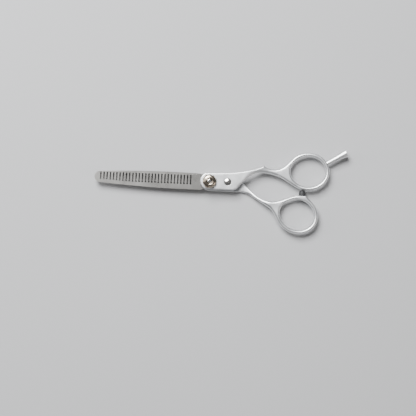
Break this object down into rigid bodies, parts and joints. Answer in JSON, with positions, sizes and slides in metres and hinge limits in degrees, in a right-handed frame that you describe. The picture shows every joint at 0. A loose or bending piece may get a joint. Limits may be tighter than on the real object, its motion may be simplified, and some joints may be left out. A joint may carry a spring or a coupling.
{
  "type": "thinning shears",
  "caption": "Hairdresser's thinning shears: a slotted comb blade over a plain blade, two swept handles with finger rings, a finger rest, a rubber stop and a domed tension nut.",
  "frame": {"origin": "on the pivot axis, at the flat underside of the pivot bolt's head, with the shears closed", "axes": "+X from the pivot towards the finger rings, with the blades along -X; +Z along the pivot axis towards the tension nut; +Y towards the finger ring that has the rest"},
  "size_m": [0.1634, 0.0561, 0.0117],
  "materials": {
    "satin_steel": "satin, fine blasted",
    "blade_steel": "ground, fine grain across the blade",
    "bright_nickel": "polished",
    "black_rubber": "matte",
    "bearing_bronze": "turned",
    "white_nylon": "plain",
    "spring_steel": "bright rolled"
  },
  "bodies": {
    "finger_half": {"finger_handle": "satin_steel", "comb_blade": "blade_steel", "finger_blade_screw": "bright_nickel", "finger_rest": "satin_steel", "pivot_bush": "bearing_bronze", "blade_washer": "white_nylon", "glide_washer": "white_nylon"},
    "thumb_half": {"thumb_handle": "satin_steel", "straight_blade": "blade_steel", "thumb_blade_screw": "bright_nickel", "bumper": "black_rubber", "pivot_bolt": "bright_nickel", "bow_spring": "spring_steel"},
    "tension_nut": {"tension_nut": "bright_nickel"}
  },
  "joints": [
    {"name": "blade_pivot", "type": "hinge", "parent": "finger_half", "child": "thumb_half", "pos_m": [0, 0, 0.00483], "axis": [0, 0, -1], "range_deg": [0, 135]},
    {"name": "tension_dial", "type": "hinge", "parent": "thumb_half", "child": "tension_nut", "pos_m": [0, 0, 0.0106], "axis": [0, 0, 1], "range_deg": [-180, 180]}
  ]
}
